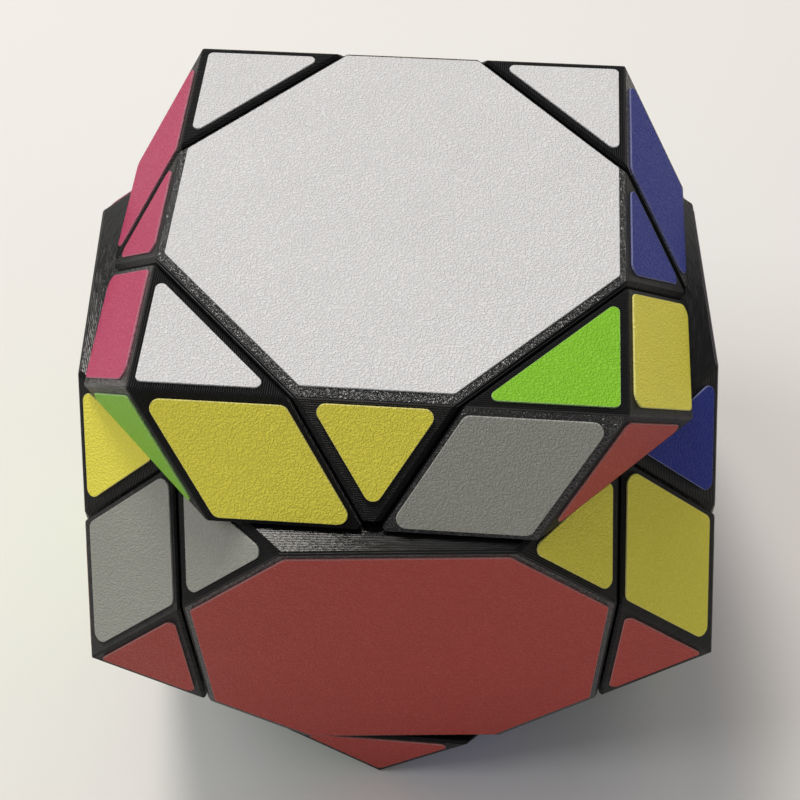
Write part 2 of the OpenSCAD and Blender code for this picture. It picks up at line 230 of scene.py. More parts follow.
@dataclass(frozen=True)
class Piece:
    """One printed piece: its node, its turn from its own frame, and the shades on its faces."""

    node: str
    layer: Layer
    about_x: float
    about_z: float
    shades: tuple[Shade, ...]
    # Films that were laid well off true: each one's number among the shades, and its shift.
    slips: tuple[tuple[int, float, float], ...] = ()

    @property
    def is_centre(self) -> bool:
        """Whether the piece is a centre, which has five films, or a corner, which has four."""
        return len(self.shades) == 5

    def rotation(self) -> Matrix:
        """Turns the piece from its own frame to its place in the puzzle.

        Returns:
            The whole turn.
        """
        layer = Matrix.Rotation(math.radians(TURNS[self.layer]), 3, "Z")
        about_z = Matrix.Rotation(math.radians(self.about_z), 3, "Z")
        about_x = Matrix.Rotation(math.radians(self.about_x), 3, "X")
        return layer @ about_z @ about_x

    def bed_normal(self) -> Vector:
        """Returns the outward direction of the face that lay on the printer's bed."""
        own = Vector((0, 0, 1)) if self.is_centre else Vector((1, -1, 1)).normalized()
        return self.rotation() @ own

    def faces(self) -> list[FilmPlace]:
        """Places the films on the piece, in the order of its shades.

        Returns:
            One place for each film.
        """
        own = self.rotation()
        if self.is_centre:
            laid = [(Outline.OCTAGON, own)]
            for quarter in range(4):
                laid.append((Outline.CENTRE_TRIANGLE, own @ triangle_turn(45 + 90 * quarter)))
        else:
            swap = Matrix(((0, 0, 1), (0, -1, 0), (1, 0, 0)))
            back = Matrix.Rotation(math.radians(-120), 3, "Z")
            laid = [
                (Outline.CORNER_TRIANGLE, own),
                (Outline.CORNER_TRIANGLE, own @ swap),
                (Outline.RHOMBUS, own @ triangle_turn(45)),
                (Outline.RHOMBUS, own @ triangle_turn(-45) @ back),
            ]
        slips = {number: (x, y) for number, x, y in self.slips}
        return [
            FilmPlace(outline, turn, self.shades[i], slips.get(i, (0.0, 0.0)))
            for i, (outline, turn) in enumerate(laid)
        ]


def triangle_turn(azimuth: float) -> Matrix:
    """Returns the turn that lays a film on the triangular face at an azimuth in degrees."""
    return Matrix.Rotation(math.radians(azimuth), 3, "Z") @ Matrix.Rotation(TILT, 3, "Y")


def piece_list() -> list[Piece]:
    """Lists the puzzle's printed pieces.

    Returns:
        The six centres and twelve corners with their shades.
    """
    w, g, r, y, e = Shade.WHITE, Shade.GREEN, Shade.RED, Shade.YELLOW, Shade.GREY
    p, b, c, s, u = Shade.PINK, Shade.BLUE, Shade.CREAM, Shade.SKY, Shade.PURPLE
    o, t, n, f = Shade.ORANGE, Shade.TEAL, Shade.BROWN, Shade.FOREST
    top, mid, low = Layer.TOP, Layer.MIDDLE, Layer.BOTTOM
    top_slips = ((0, 0.4 * MM, 0.2 * MM), (3, -0.35 * MM, 0.0))
    return [
        Piece("top_centre_body", top, 0, 0, (w, c, p, y, b), top_slips),
        Piece("bottom_centre_body", low, 180, 0, (o, f, e, n, t)),
        Piece("front_centre_body", mid, 90, 0, (r, y, e, f, b)),
        Piece("right_centre_body", mid, 90, 90, (u, c, b, f, t)),
        Piece("back_centre_body", mid, 90, 180, (s, p, c, t, n)),
        Piece("left_centre_body", mid, 90, 270, (g, y, p, n, e)),
        Piece("top_corner_back_right", top, 0, 0, (w, u, c, b)),
        Piece("top_corner_back_left", top, 0, 90, (w, s, p, c)),
        Piece("top_corner_front_left", top, 0, 180, (w, g, y, p)),
        Piece("top_corner_front_right", top, 0, 270, (g, r, y, e)),
        Piece("middle_corner_front_right", mid, 90, 0, (r, w, y, b)),
        Piece("middle_corner_back_right", mid, 90, 90, (u, s, c, t)),
        Piece("middle_corner_back_left", mid, 90, 180, (s, g, p, n)),
        Piece("middle_corner_front_left", mid, 90, 270, (o, r, e, f)),
        Piece("bottom_corner_right", low, 180, 0, (o, u, f, t)),
        Piece("bottom_corner_back", low, 180, 90, (o, s, t, n)),
        Piece("bottom_corner_left", low, 180, 180, (o, g, n, e)),
        Piece("bottom_corner_front", low, 180, 270, (u, r, f, b)),
    ]


# ---- Finishes ----


@dataclass(frozen=True)
class PrintedPlastic:
    """Black PLA, laid down by a nozzle in 0.2 mm layers from a textured steel bed.

    Across the layers it shows fine ridges with a satin gloss. The face that lay on the bed is
    a hard, shiny print of the bed's pebbled powder coat. Where two layers of the puzzle rub on
    each other as they turn, the ridges are polished in arcs about the turning axis.
    """

    name: str
    bed: Vector
    base: str = "#08080A"
    streak: str = "#141415"
    ior: float = 1.46
    layer_height: float = 0.2 * MM
    # A real bead stands about 0.03 mm over the valley beside it. It is drawn about three times
    # that so that it shows.
    ridge: float = 0.1 * MM
    # Beads wander by this much, in waves of about 7 mm.
    wander: float = 0.06 * MM
    wander_scale: float = 140.0
    # The nozzle's pulsing flow leaves streaks, in noise cells per metre across and along them.
    streak_height: float = 0.03 * MM
    streaks_across: float = 3800.0
    streaks_along: float = 260.0
    # The bed's pebbles are 0.2 to 0.5 mm across. Real ones stand about 0.1 mm high, and they
    # are drawn three times that so that they show.
    pebble: float = 0.3 * MM
    pebble_height: float = 0.3 * MM
    # Rub marks lie about 0.3 mm apart and are a few millimetres long.
    rub_spacing: float = 0.3 * MM
    rub_height: float = 0.02 * MM
    rub_cells_per_radian: float = 14.0
    # The share of the ridges that rubbing takes away.
    rubbed_away: float = 0.9
    # Cosines between which a face starts to count as the bed's face, or as a flat cut face.
    bed_facing: tuple[float, float] = (0.93, 0.985)
    flat_facing: tuple[float, float] = (0.97, 0.99)
    # Noise values between which the roughness goes from its first value to its last.
    middle: tuple[float, float] = (0.35, 0.65)
    # Roughness: satin on the ridges, polished in the rub marks, shiny on the pebbles.
    gloss_wall: tuple[float, float] = (0.3, 0.44)
    gloss_rub: tuple[float, float] = (0.15, 0.05)
    gloss_bed: tuple[float, float] = (0.24, 0.1)
    # Open beads mirror little. Worn and bed-pressed skins are dense, and add to that.
    mirror_open: float = 0.24
    mirror_rub: float = 0.14
    mirror_bed: float = 0.75

    def material(self) -> bpy.types.Material:
        """Builds the material.

        Returns:
            The finished material.
        """
        material, tree, shader, coords = new_finish(self.name)
        place, normal = coords.outputs["Object"], coords.outputs["Normal"]
        direction = tuple(self.bed)
        facing = add(
            tree, "ShaderNodeVectorMath", {0: normal, 1: direction}, operation="DOT_PRODUCT"
        )
        start, end = self.bed_facing
        on_bed = add(
            tree,
            "ShaderNodeMapRange",
            {"Value": facing.outputs["Value"], "From Min": start, "From Max": end},
            interpolation_type="SMOOTHSTEP",
        ).outputs[0]
        off_bed = add(tree, "ShaderNodeMath", {0: 1.0, 1: on_bed}, operation="SUBTRACT").outputs[0]
        height = add(
            tree, "ShaderNodeVectorMath", {0: place, 1: direction}, operation="DOT_PRODUCT"
        ).outputs["Value"]
        ridges = self.ridges(tree, place, height)
        streaks = self.streaks(tree, place, height)
        pebbles = self.pebbles(tree, place)
        rubbed, marks = self.rub_marks(tree, place, normal)

        low, high = self.middle
        gloss_wall, gloss_rub, gloss_bed = (
            add(
                tree,
                "ShaderNodeMapRange",
                {
                    "Value": level,
                    "From Min": low,
                    "From Max": high,
                    "To Min": first,
                    "To Max": last,
                },
            ).outputs[0]
            for level, (first, last) in (
                (streaks, self.gloss_wall),
                (marks, self.gloss_rub),
                (pebbles, self.gloss_bed),
            )
        )
        worn = add(tree, "ShaderNodeMix", {"Factor": rubbed, "A": gloss_wall, "B": gloss_rub})
        gloss = add(
            tree, "ShaderNodeMix", {"Factor": on_bed, "A": worn.outputs["Result"], "B": gloss_bed}
        )
        tint = add(
            tree,
            "ShaderNodeMix",
            {"Factor": streaks, "A": linear(self.base), "B": linear(self.streak)},
            data_type="RGBA",
        )
        crisp = add(
            tree,
            "ShaderNodeMath",
            {0: rubbed, 1: -self.rubbed_away, 2: off_bed},
            operation="MULTIPLY_ADD",
        ).outputs[0]
        bump = None
        for level, depth, strength in (
            (ridges, self.ridge, crisp),
            (streaks, self.streak_height, crisp),
            (marks, self.rub_height, rubbed),
            (pebbles, self.pebble_height, on_bed),
        ):
            inputs = {"Height": level, "Distance": depth, "Strength": strength}
            if bump is not None:
                inputs["Normal"] = bump
            bump = add(tree, "ShaderNodeBump", inputs).outputs[0]
        dense = add(
            tree,
            "ShaderNodeMath",
            {0: rubbed, 1: self.mirror_rub, 2: self.mirror_open},
            operation="MULTIPLY_ADD",
        )
        mirror = add(
            tree,
            "ShaderNodeMath",
            {0: on_bed, 1: self.mirror_bed, 2: dense.outputs[0]},
            operation="MULTIPLY_ADD",
        )
        dressing = {
            "Specular IOR Level": mirror.outputs[0],
            "Base Color": tint.outputs["Result"],
            "Roughness": gloss.outputs["Result"],
            "Normal": bump,
            "IOR": self.ior,
        }
        wire(tree, shader, dressing)
        return material

    def ridges(
        self, tree: bpy.types.NodeTree, place: bpy.types.NodeSocket, height: bpy.types.NodeSocket
    ) -> bpy.types.NodeSocket:
        """Draws the round beads of the layers, which wander a little as real ones do.

        Args:
            tree: The material's tree.
            place: Object coordinates.
            height: Height over the bed.

        Returns:
            The beads' height from 0 in the valleys to 1 on the crests.
        """
        wander = add(
            tree, "ShaderNodeTexNoise", {"Vector": place, "Scale": self.wander_scale, "Detail": 1.0}
        )
        drift = add(
            tree,
            "ShaderNodeMath",
            {0: wander.outputs["Fac"], 1: self.wander, 2: height},
            operation="MULTIPLY_ADD",
        )
        phase = add(
            tree,
            "ShaderNodeMath",
            {0: drift.outputs[0], 1: math.pi / self.layer_height},
            operation="MULTIPLY",
        )
        wave = add(tree, "ShaderNodeMath", {0: phase.outputs[0]}, operation="SINE")
        return add(tree, "ShaderNodeMath", {0: wave.outputs[0]}, operation="ABSOLUTE").outputs[0]

    def streaks(
        self, tree: bpy.types.NodeTree, place: bpy.types.NodeSocket, height: bpy.types.NodeSocket
    ) -> bpy.types.NodeSocket:
        """Draws streaks along the layers, from the nozzle's pulsing flow.

        Args:
            tree: The material's tree.
            place: Object coordinates.
            height: Height over the bed.

        Returns:
            The streaks' noise.
        """
        across = add(
            tree, "ShaderNodeMath", {0: height, 1: self.streaks_across}, operation="MULTIPLY"
        )
        steep = add(
            tree,
            "ShaderNodeVectorMath",
            {0: tuple(self.bed), "Scale": across.outputs[0]},
            operation="SCALE",
        )
        slow = add(
            tree, "ShaderNodeVectorMath", {0: place, "Scale": self.streaks_along}, operation="SCALE"
        )
        stretched = add(
            tree, "ShaderNodeVectorMath", {0: slow.outputs[0], 1: steep.outputs[0]}, operation="ADD"
        )
        inputs = {"Vector": stretched.outputs[0], "Scale": 1.0, "Detail": 3.0, "Roughness": 0.6}
        return add(tree, "ShaderNodeTexNoise", inputs).outputs["Fac"]

    def pebbles(
        self, tree: bpy.types.NodeTree, place: bpy.types.NodeSocket
    ) -> bpy.types.NodeSocket:
        """Draws the bed's pebbles.

        Args:
            tree: The material's tree.
            place: Object coordinates.

        Returns:
            The pebbles' noise.
        """
        inputs = {
            "Vector": place,
            "Scale": 1 / self.pebble,
            "Detail": 1.0,
            "Roughness": 0.5,
            "Distortion": 0.7,
        }
        return add(tree, "ShaderNodeTexNoise", inputs).outputs["Fac"]

    def rub_marks(
        self, tree: bpy.types.NodeTree, place: bpy.types.NodeSocket, normal: bpy.types.NodeSocket
    ) -> tuple[bpy.types.NodeSocket, bpy.types.NodeSocket]:
        """Draws arcs about the turning axis on the flat faces between the puzzle's layers.

        Args:
            tree: The material's tree.
            place: Object coordinates.
            normal: The surface's direction.

        Returns:
            Where the faces rub, from 0 to 1, and the marks' noise.
        """
        upright = add(tree, "ShaderNodeSeparateXYZ", {0: normal})
        level = add(tree, "ShaderNodeMath", {0: upright.outputs["Z"]}, operation="ABSOLUTE")
        start, end = self.flat_facing
        flat = add(
            tree,
            "ShaderNodeMapRange",
            {"Value": level.outputs[0], "From Min": start, "From Max": end},
        )
        spot = add(tree, "ShaderNodeSeparateXYZ", {0: place})
        over = add(
            tree, "ShaderNodeMath", {0: spot.outputs["Z"], 1: SIZES.centre.z}, operation="SUBTRACT"
        )
        away = add(tree, "ShaderNodeMath", {0: over.outputs[0]}, operation="ABSOLUTE")
        inside = add(
            tree,
            "ShaderNodeMath",
            {0: away.outputs[0], 1: (SIZES.cut + SIZES.half_height) / 2},
            operation="LESS_THAN",
        )
        rubbed = add(
            tree, "ShaderNodeMath", {0: flat.outputs[0], 1: inside.outputs[0]}, operation="MULTIPLY"
        )
        plan = add(tree, "ShaderNodeVectorMath", {0: place, 1: (1, 1, 0)}, operation="MULTIPLY")
        reach = add(tree, "ShaderNodeVectorMath", {0: plan.outputs[0]}, operation="LENGTH")
        rings = add(
            tree,
            "ShaderNodeMath",
            {0: reach.outputs["Value"], 1: 1 / self.rub_spacing},
            operation="MULTIPLY",
        )
        angle = add(
            tree,
            "ShaderNodeMath",
            {0: spot.outputs["Y"], 1: spot.outputs["X"]},
            operation="ARCTAN2",
        )
        along = add(
            tree,
            "ShaderNodeMath",
            {0: angle.outputs[0], 1: self.rub_cells_per_radian},
            operation="MULTIPLY",
        )
        arcs = add(tree, "ShaderNodeCombineXYZ", {0: rings.outputs[0], 1: along.outputs[0]})
        marks = add(
            tree, "ShaderNodeTexNoise", {"Vector": arcs.outputs[0], "Scale": 1.0, "Detail": 3.0}
        )
        return rubbed.outputs[0], marks.outputs["Fac"]


@dataclass(frozen=True)
class VinylFilm:
    """Calendered PVC film with a fine leather grain, cut by a plotter.

    The grain is a soft net of short ridges about a third of a millimetre apart, with a satin
    gloss. Its ridges are painted paler and its valleys darker: a painted highlight and painted
    shade. The cut edge is paler than the face, partly its own colour and partly a painted
    highlight where the edge catches the light.
    """

    shade: Shade
    ior: float = 1.52
    mirror: float = 0.3
    # Ridges a third of a millimetre apart take noise cells of two thirds of that.
    grain: float = 0.23 * MM
    # Real ridges stand about 0.04 mm high, and they are drawn higher so that they show.
    grain_height: float = 0.074 * MM
    # Noise values between which the grain goes from valley to ridge.
    grain_edges: tuple[float, float] = (0.32, 0.68)
    # The ridges are painted paler and the valleys darker than the film: a painted highlight on the
    # grain's crests and painted shade in its valleys.
    grain_tone: tuple[float, float] = (0.96, 1.03)
    # The roll's colour drifts faintly over about a centimetre.
    roll_scale: float = 90.0
    roll_tone: tuple[float, float] = (0.98, 1.02)
    gloss: tuple[float, float] = (0.62, 0.46)
    # The cut edge goes this share of the way to a pale grey: partly the cut's own paler colour and
    # partly a painted highlight where the edge catches the light.
    pale_level: float = 0.75
    pale_share: float = 0.25

    def material(self) -> bpy.types.Material:
        """Builds the material.

        Returns:
            The finished material.
        """
        material, tree, shader, coords = new_finish(f"vinyl_film_{self.shade.word}")
        place = coords.outputs["Object"]
        net = add(
            tree,
            "ShaderNodeTexNoise",
            {
                "Vector": place,
                "Scale": 1 / self.grain,
                "Detail": 1.0,
                "Roughness": 0.4,
                "Distortion": 0.5,
            },
        )
        low, high = self.grain_edges
        grain = add(
            tree,
            "ShaderNodeMapRange",
            {"Value": net.outputs["Fac"], "From Min": low, "From Max": high},
            interpolation_type="SMOOTHSTEP",
        )
        cloud = add(
            tree, "ShaderNodeTexNoise", {"Vector": place, "Scale": self.roll_scale, "Detail": 2.0}
        )
        # Painted shade in the grain's valleys and a painted highlight on its ridges.
        valley, ridge = (self.scaled(factor) for factor in self.grain_tone)
        tone = add(
            tree,
            "ShaderNodeMix",
            {"Factor": grain.outputs[0], "A": valley, "B": ridge},
            data_type="RGBA",
        )
        dark, light = self.roll_tone
        fade = add(
            tree,
            "ShaderNodeMapRange",
            {
                "Value": cloud.outputs["Fac"],
                "From Min": 0.3,
                "From Max": 0.7,
                "To Min": dark,
                "To Max": light,
            },
        )
        faded = add(
            tree,
            "ShaderNodeVectorMath",
            {0: tone.outputs["Result"], "Scale": fade.outputs[0]},
            operation="SCALE",
        )
        # The side faces of the cut are painted paler: partly the film's own cut edge, partly a
        # painted highlight along the edge.
        cut = add(tree, "ShaderNodeAttribute", attribute_name="cut_edge")
        edged = add(
            tree,
            "ShaderNodeMix",
            {"Factor": cut.outputs["Fac"], "A": faded.outputs[0], "B": self.pale()},
            data_type="RGBA",
        )
        dull, shiny = self.gloss
        gloss = add(
            tree,
            "ShaderNodeMapRange",
            {"Value": grain.outputs[0], "To Min": dull, "To Max": shiny},
        )
        bump = add(
            tree,
            "ShaderNodeBump",
            {"Height": grain.outputs[0], "Distance": self.grain_height, "Strength": 1.0},
        )
        dressing = {
            "Base Color": edged.outputs["Result"],
            "Roughness": gloss.outputs["Result"],
            "Normal": bump.outputs[0],
            "IOR": self.ior,
            "Specular IOR Level": self.mirror,
        }
        wire(tree, shader, dressing)
        return material

    def scaled(self, factor: float) -> tuple[float, float, float, float]:
        """Returns the shade in linear light, made brighter or darker by a factor."""
        red, green, blue, alpha = linear(self.shade.value)
        return red * factor, green * factor, blue * factor, alpha

    def pale(self) -> tuple[float, float, float, float]:
        """Returns the paler shade of the cut edge in linear light, partly a painted highlight."""
        red, green, blue, alpha = linear(self.shade.value)
        paler = tuple(v + (self.pale_level - v) * self.pale_share for v in (red, green, blue))
        return (*paler, alpha)


@dataclass(frozen=True)
class ZincSteel:
    """Zinc-plated carbon steel, cold headed and barrel plated: grey, satin, faintly brushed."""

    name: str = "zinc_plated_steel"
    base: str = "#B9BBBF"
    dull: str = "#9EA0A6"
    grain: float = 0.25 * MM
    grain_height: float = 0.01 * MM
    gloss: tuple[float, float] = (0.24, 0.42)

    def material(self) -> bpy.types.Material:
        """Builds the material.

        Returns:
            The finished material.
        """
        material, tree, shader, coords = new_finish(self.name)
        noise = add(
            tree,
            "ShaderNodeTexNoise",
            {"Vector": coords.outputs["Object"], "Scale": 1 / self.grain, "Detail": 3.0},
        ).outputs["Fac"]
        shiny, dull = self.gloss
        gloss = add(
            tree,
            "ShaderNodeMapRange",
            {"Value": noise, "From Min": 0.3, "From Max": 0.7, "To Min": shiny, "To Max": dull},
        )
        tone = add(
            tree,
            "ShaderNodeMix",
            {"Factor": noise, "A": linear(self.dull), "B": linear(self.base)},
            data_type="RGBA",
        )
        bump = add(tree, "ShaderNodeBump", {"Height": noise, "Distance": self.grain_height})
        dressing = {
            "Base Color": tone.outputs["Result"],
            "Roughness": gloss.outputs["Result"],
            "Normal": bump.outputs[0],
            "Metallic": 1.0,
        }
        wire(tree, shader, dressing)
        return material


@dataclass(frozen=True)
class TablePaper:
    """A pale matt sheet under the puzzle, smooth with a trace of tooth."""

    base: str = "#F2EFEA"
    roughness: float = 0.7
    # The tooth's noise cells per metre, about a millimetre each.
    tooth: float = 900.0
    tooth_height: float = 0.01 * MM

    def material(self) -> bpy.types.Material:
        """Builds the material.

        Returns:
            The finished material.
        """
        material, tree, shader, coords = new_finish("matt_paper")
        tooth = add(
            tree,
            "ShaderNodeTexNoise",
            {"Vector": coords.outputs["Object"], "Scale": self.tooth, "Detail": 2.0},
        )
        bump = add(
            tree, "ShaderNodeBump", {"Height": tooth.outputs["Fac"], "Distance": self.tooth_height}
        )
        dressing = {
            "Base Color": linear(self.base),
            "Roughness": self.roughness,
            "Normal": bump.outputs[0],
        }
        wire(tree, shader, dressing)
        return material


# ---- Film ----


@dataclass
class FilmCutter:
    """Cuts the four outlines from film, each in its own frame with its face at the right height."""

    sizes: Sizes = SIZES
    arc_steps: int = 8
    # Where the softened edge's middle ring lies, as a share of its radius.
    edge_middle: float = 0.3
    plates: dict[Outline, bpy.types.Object] = field(default_factory=dict)

    def corners(self, outline: Outline) -> list[tuple[float, float]]:
        """Finds the sharp corners of the plastic face that an outline is cut to fit.

        Args:
            outline: Which outline.

        Returns:
            The corners, anticlockwise.
        """
        s = self.sizes
        gap = s.cut_gap / 2
        trim = s.cut_gap * math.sqrt(2 / 3)
        if outline is Outline.OCTAGON:
            long, short = s.cut - gap, s.third + gap
            return [
                (long, -short), (long, short), (short, long), (-short, long),
                (-long, short), (-long, -short), (-short, -long), (short, -long),
            ]
        if outline is Outline.CENTRE_TRIANGLE:
            turns = (math.radians(150), math.radians(210))
            return [(-trim, 0.0), *((s.side * math.cos(a), s.side * math.sin(a)) for a in turns)]
        if outline is Outline.CORNER_TRIANGLE:
            reach = s.half_height - s.cut - gap
            base = s.half_height - reach
            return [(s.half_height, 0.0), (base, reach), (base, -reach)]
        # The rhombus starts at a sharp corner. Its long diagonal's direction and half the
        # corner's angle are in degrees.
        side, diagonal, half_angle = s.side - trim, 240, 30
        dx = trim * math.cos(math.radians(diagonal))
        dy = trim * math.sin(math.radians(diagonal))
        ends = [(dx, dy)]
        for length, angle in (
            (side, diagonal - half_angle),
            (side * math.sqrt(3), diagonal),
            (side, diagonal + half_angle),
        ):
            turn = math.radians(angle)
            ends.append((length * math.cos(turn) + dx, length * math.sin(turn) + dy))
        return ends

    def trim(self, outline: Outline) -> tuple[float, float, float]:
        """Looks up how an outline is trimmed.

        Args:
            outline: Which outline.

        Returns:
            Its margin, its corners' radius and its lift towards the octagon.
        """
        s = self.sizes
        return {
            Outline.OCTAGON: (s.octagon_margin, s.octagon_corner, 0.0),
            Outline.CENTRE_TRIANGLE: (s.triangle_margin, s.triangle_corner, s.triangle_lift),
            Outline.CORNER_TRIANGLE: (s.wing_margin, s.wing_corner, 0.0),
            Outline.RHOMBUS: (s.rhombus_margin, s.rhombus_corner, 0.0),
        }[outline]

    def rounded(
        self, corners: list[tuple[float, float]], margin: float, radius: float
    ) -> list[tuple[float, float]]:
        """Insets a convex outline and rounds its corners.

        Args:
            corners: The outline's corners, anticlockwise.
            margin: How far each side moves in.
            radius: The radius of each corner.

        Returns:
            The points of the rounded outline.
        """
        points = []
        for i, (x, y) in enumerate(corners):
            bx, by = corners[i - 1]
            ax, ay = corners[(i + 1) % len(corners)]
            start = math.atan2(y - by, x - bx) - math.pi / 2
            end = math.atan2(ay - y, ax - x) - math.pi / 2
            swing = (end - start) % (2 * math.pi)
            reach = (margin + radius) / math.cos(swing / 2)
            middle = start + swing / 2
            cx, cy = x - reach * math.cos(middle), y - reach * math.sin(middle)
            for step in range(self.arc_steps + 1):
                turn = start + swing * step / self.arc_steps
                points.append((cx + radius * math.cos(turn), cy + radius * math.sin(turn)))
        return points

    def plate(self, outline: Outline) -> bpy.types.Object:
        """Cuts one plate, with a softened upper edge.

        Args:
            outline: Which outline to cut.

        Returns:
            An object that holds the plate, made once and then kept.
        """
        if outline in self.plates:
            return self.plates[outline]
        s = self.sizes
        margin, radius, lift = self.trim(outline)
        square = outline in (Outline.OCTAGON, Outline.CORNER_TRIANGLE)
        base = s.half_height if square else s.triangle_distance
        soft = s.film_round
        middle = self.edge_middle * soft
        rings = [(0.0, 0.0), (0.0, s.film - soft), (middle, s.film - middle), (soft, s.film)]
        corners = self.corners(outline)
        vertices: list[tuple[float, float, float]] = []
        for inset, height in rings:
            for x, y in self.rounded(corners, margin + inset, radius - inset):
                vertices.append((x - lift, y, base + height))
        count = len(vertices) // len(rings)
        faces = [tuple(reversed(range(count)))]
        for ring in range(len(rings) - 1):
            low, high = ring * count, (ring + 1) * count
            faces += [
                (low + i, low + (i + 1) % count, high + (i + 1) % count, high + i)
                for i in range(count)
            ]
        faces.append(tuple(range(count * (len(rings) - 1), count * len(rings))))
        mesh = bpy.data.meshes.new(f"plate_{outline.name.lower()}")
        mesh.from_pydata(vertices, [], faces)
        # Marks the side faces, which the film's material paints paler, partly as a painted
        # highlight.
        edge = mesh.attributes.new("cut_edge", "FLOAT", "FACE")
        for i, polygon in enumerate(mesh.polygons):
            edge.data[i].value = 0.0 if i in (0, len(faces) - 1) else 1.0
        plate = bpy.data.objects.new(mesh.name, mesh)
        bpy.context.scene.collection.objects.link(plate)
        self.plates[outline] = plate
        return plate

    def clear(self) -> None:
        """Removes the loose plates once every film is placed."""
        for plate in self.plates.values():
            bpy.data.objects.remove(plate)
        self.plates.clear()


# What the layout tree reads from each place.
PLACE_DATA = {"kind": "INT", "turn": "FLOAT_VECTOR", "tag": "INT", "slip": "FLOAT_VECTOR"}


@dataclass
class FilmLayout:
    """Lays plates on the pieces' faces with one tree, and turns each shade to a plain mesh."""

    cutter: FilmCutter
    # Each film is laid by hand, so it sits up to this far off its true place.
    stray: float = 0.1 * MM
    seed: int = 7
    tree: bpy.types.NodeTree | None = None

    def build_tree(self) -> bpy.types.NodeTree:
        """Builds the layout tree: one plate on each place, by its kind and its turn.

        Returns:
            The tree, with an input for each plate, the film, the stray and the seed.
        """
        tree = bpy.data.node_groups.new("film_layout", "GeometryNodeTree")
        sockets = {"Places": "NodeSocketGeometry"}
        sockets |= {self.plate_input(outline): "NodeSocketObject" for outline in Outline}
        sockets |= {"Film": "NodeSocketMaterial", "Stray": "NodeSocketFloat"}
        sockets["Seed"] = "NodeSocketInt"
        for name, form in sockets.items():
            tree.interface.new_socket(name, in_out="INPUT", socket_type=form)
        tree.interface.new_socket("Result", in_out="OUTPUT", socket_type="NodeSocketGeometry")
        start = add(tree, "NodeGroupInput")
        kind, turn, tag, slip = (
            add(
                tree, "GeometryNodeInputNamedAttribute", {"Name": name}, data_type=form
            ).outputs["Attribute"]
            for name, form in PLACE_DATA.items()
        )
        rotation = add(tree, "FunctionNodeEulerToRotation", {0: turn})
        stray = start.outputs["Stray"]
        less = add(tree, "ShaderNodeMath", {0: stray, 1: -1.0}, operation="MULTIPLY").outputs[0]
        low = add(tree, "ShaderNodeCombineXYZ", {0: less, 1: less})
        high = add(tree, "ShaderNodeCombineXYZ", {0: stray, 1: stray})
        shift = add(
            tree,
            "FunctionNodeRandomValue",
            {0: low.outputs[0], 1: high.outputs[0], "ID": tag, "Seed": start.outputs["Seed"]},
            data_type="FLOAT_VECTOR",
        )
        off = add(tree, "ShaderNodeVectorMath", {0: shift.outputs[0], 1: slip}, operation="ADD")
        join = add(tree, "GeometryNodeJoinGeometry")
        for outline in Outline:
            plate = add(
                tree,
                "GeometryNodeObjectInfo",
                {"Object": start.outputs[self.plate_input(outline)]},
                transform_space="ORIGINAL",
            )
            chosen = add(
                tree,
                "FunctionNodeCompare",
                {2: kind, 3: outline.value},
                data_type="INT",
                operation="EQUAL",
            )
            laid = add(
                tree,
                "GeometryNodeInstanceOnPoints",
                {
                    "Points": start.outputs["Places"],
                    "Selection": chosen.outputs[0],
                    "Instance": plate.outputs["Geometry"],
                    "Rotation": rotation.outputs[0],
                },
            )
            tree.links.new(laid.outputs[0], join.inputs[0])
        moved = add(
            tree,
            "GeometryNodeTranslateInstances",
            {"Instances": join.outputs[0], "Translation": off.outputs[0], "Local Space": True},
        )
        real = add(tree, "GeometryNodeRealizeInstances", {0: moved.outputs[0]})
        dressed = add(
            tree,
            "GeometryNodeSetMaterial",
            {"Geometry": real.outputs[0], "Material": start.outputs["Film"]},
        )
        add(tree, "NodeGroupOutput", {"Result": dressed.outputs[0]})
        return tree

    def plate_input(self, outline: Outline) -> str:
        """Returns the name of the tree's input for one plate."""
        return f"{outline.name.replace('_', ' ').capitalize()} plate"

    def lay(
        self,
        layer: Layer,
        shade: Shade,
        places: list[tuple[int, FilmPlace]],
        material: bpy.types.Material,
    ) -> bpy.types.Object:
        """Lays every film of one shade on one layer.

        Args:
            layer: The layer that the films ride on.
            shade: The films' shade.
            places: Each film's number and place.
            material: The film's finish.

        Returns:
            The finished films as one plain mesh object.
        """
        if self.tree is None:
            self.tree = self.build_tree()
        mesh = bpy.data.meshes.new("places")
        mesh.from_pydata([tuple(SIZES.centre)] * len(places), [], [])
        for name, form in PLACE_DATA.items():
            mesh.attributes.new(name, form, "POINT")
        for i, (number, place) in enumerate(places):
            mesh.attributes["kind"].data[i].value = place.outline.value
            mesh.attributes["turn"].data[i].vector = place.turn.to_euler("XYZ")
            mesh.attributes["tag"].data[i].value = number
            mesh.attributes["slip"].data[i].vector = (*place.slip, 0.0)
        host = bpy.data.objects.new("film_places", mesh)
        bpy.context.scene.collection.objects.link(host)
        modifier = host.modifiers.new("film_layout", "NODES")
        modifier.node_group = self.tree
        values = {self.plate_input(o): self.cutter.plate(o) for o in Outline}
        values |= {"Film": material, "Stray": self.stray, "Seed": self.seed}
        for item in self.tree.interface.items_tree:
            if item.in_out == "INPUT" and item.name in values:
                modifier[item.identifier] = values[item.name]
        host.update_tag()
        graph = bpy.context.evaluated_depsgraph_get()
        plain = bpy.data.meshes.new_from_object(host.evaluated_get(graph))
        plain.name = f"{layer.short}_{shade.word}_films"
        for name in PLACE_DATA:
            if name in plain.attributes:
                plain.attributes.remove(plain.attributes[name])
        films = bpy.data.objects.new(plain.name, plain)
        bpy.context.scene.collection.objects.link(films)
        bpy.data.objects.remove(host)
        return films


